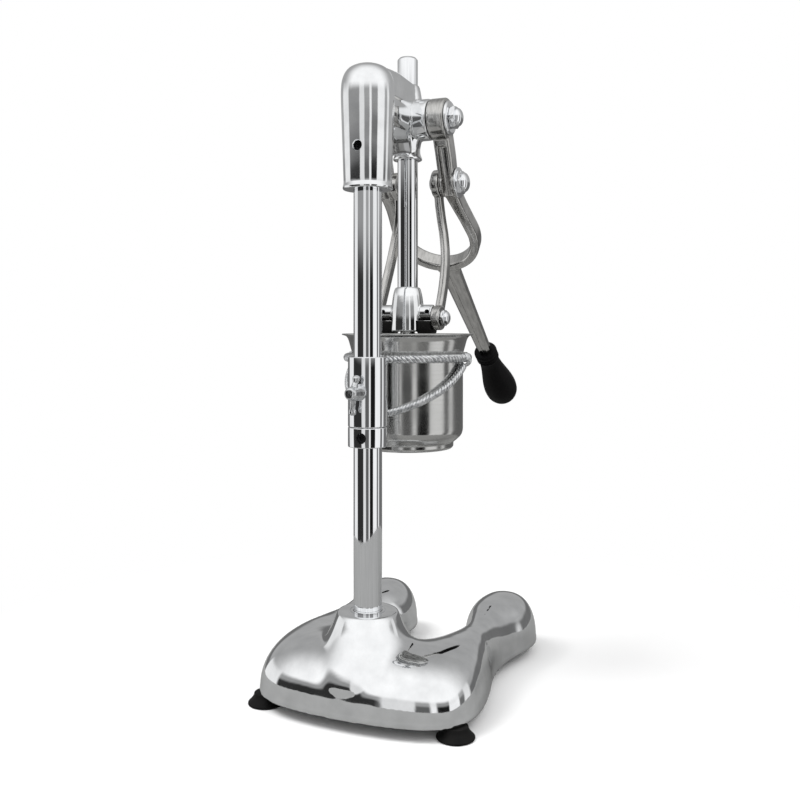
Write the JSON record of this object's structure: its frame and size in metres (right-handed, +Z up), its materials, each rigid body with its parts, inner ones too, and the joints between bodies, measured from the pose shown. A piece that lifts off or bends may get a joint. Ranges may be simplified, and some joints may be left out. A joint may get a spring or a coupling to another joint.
{
  "type": "lever barrel press",
  "caption": "Tall hand lever press: horseshoe base, column with a sliding barrel carrier, cast head, forked lever and bowed links that drive a piston down into a barrel.",
  "frame": {"origin": "middle of the floor outline, on the floor", "axes": "+Z up along the column, -Y towards the user and the handle, +X to the user's right"},
  "size_m": [0.236, 0.5344, 0.666],
  "materials": {
    "chrome_casting": "mirror polished and chromed casting",
    "chrome_tube": "mirror chrome",
    "bright_rope": "bright plated, softly uneven",
    "cast_aluminium": "polished casting",
    "stainless": "brushed round the axis",
    "zinc_steel": "zinc plated",
    "black_steel": "black oxide steel",
    "bush_bronze": "turned bearing bronze",
    "foot_rubber": "matte moulded rubber",
    "grip_black": "matte moulded grip"
  },
  "bodies": {
    "frame": {"base_casting": "chrome_casting", "foot_rear_left": "foot_rubber", "foot_rear_right": "foot_rubber", "foot_front_left": "foot_rubber", "foot_front_right": "foot_rubber", "foot_screw_rear_left": "zinc_steel", "foot_screw_rear_right": "zinc_steel", "foot_screw_front_left": "zinc_steel", "foot_screw_front_right": "zinc_steel", "column": "chrome_tube", "column_plug": "zinc_steel", "column_washer": "zinc_steel", "column_bolt": "zinc_steel", "head_casting": "chrome_casting", "head_set_screw": "black_steel", "pivot_stud_left": "zinc_steel", "pivot_stud_right": "zinc_steel", "pivot_washer_left": "chrome_tube", "pivot_washer_right": "chrome_tube", "pivot_nut_left": "chrome_tube", "pivot_nut_right": "chrome_tube"},
    "lever": {"lever_yoke": "cast_aluminium", "pivot_bush_left": "bush_bronze", "pivot_bush_right": "bush_bronze", "handle_grip": "grip_black", "link_upper_bolt_left": "zinc_steel", "link_upper_bolt_right": "zinc_steel", "link_upper_nut_left": "chrome_tube", "link_upper_nut_right": "chrome_tube"},
    "left_link": {"link_left": "cast_aluminium", "link_lower_bolt_left": "chrome_tube"},
    "right_link": {"link_right": "cast_aluminium", "link_lower_bolt_right": "chrome_tube"},
    "plunger": {"plunger_rod": "chrome_tube", "crosshead": "chrome_casting", "crosshead_set_screw_left": "black_steel", "crosshead_set_screw_right": "black_steel", "bumper_left": "foot_rubber", "bumper_right": "foot_rubber", "piston_stem": "stainless", "piston_disc": "stainless", "piston_seal": "foot_rubber", "piston_nut": "stainless"},
    "collar": {"stop_collar": "chrome_tube", "collar_set_screw": "black_steel"},
    "carrier": {"carrier_sleeve": "chrome_tube", "carrier_ring": "bright_rope", "carrier_brace_left": "bright_rope", "carrier_brace_right": "bright_rope", "barrel": "stainless", "strainer_plate": "stainless"},
    "clamp_screw": {"wing_screw": "bright_rope"}
  },
  "joints": [
    {"name": "lever_swing", "type": "hinge", "parent": "frame", "child": "lever", "pos_m": [0, 0.10522, 0.597], "axis": [-1, 0, 0], "range_deg": [0, 115]},
    {"name": "left_link_swing", "type": "hinge", "parent": "lever", "child": "left_link", "pos_m": [-0.024, 0.07521, 0.53265], "axis": [-1, 0, 0], "range_deg": [-121.2, 0]},
    {"name": "right_link_swing", "type": "hinge", "parent": "lever", "child": "right_link", "pos_m": [0.024, 0.07521, 0.53265], "axis": [-1, 0, 0], "range_deg": [-121.2, 0]},
    {"name": "plunger_slide", "type": "slide", "parent": "frame", "child": "plunger", "axis": [0, 0, 1], "range_m": [0, 0.1229]},
    {"name": "carrier_slide", "type": "slide", "parent": "frame", "child": "carrier", "axis": [0, 0, 1], "range_m": [-0.1, 0]},
    {"name": "collar_slide", "type": "slide", "parent": "frame", "child": "collar", "axis": [0, 0, 1], "range_m": [-0.1, 0]},
    {"name": "clamp_screw_turn", "type": "hinge", "parent": "carrier", "child": "clamp_screw", "pos_m": [0, 0.24, 0.312], "axis": [0, 1, 0], "range_deg": [0, 360]}
  ],
  "couplings": [
    {"joint": "left_link_swing", "follows": "lever_swing", "ratio": -1.0533},
    {"joint": "right_link_swing", "follows": "lever_swing", "ratio": -1.0533},
    {"joint": "plunger_slide", "follows": "lever_swing", "m_per_rad": 0.061176},
    {"joint": "collar_slide", "follows": "carrier_slide", "ratio": 1}
  ]
}
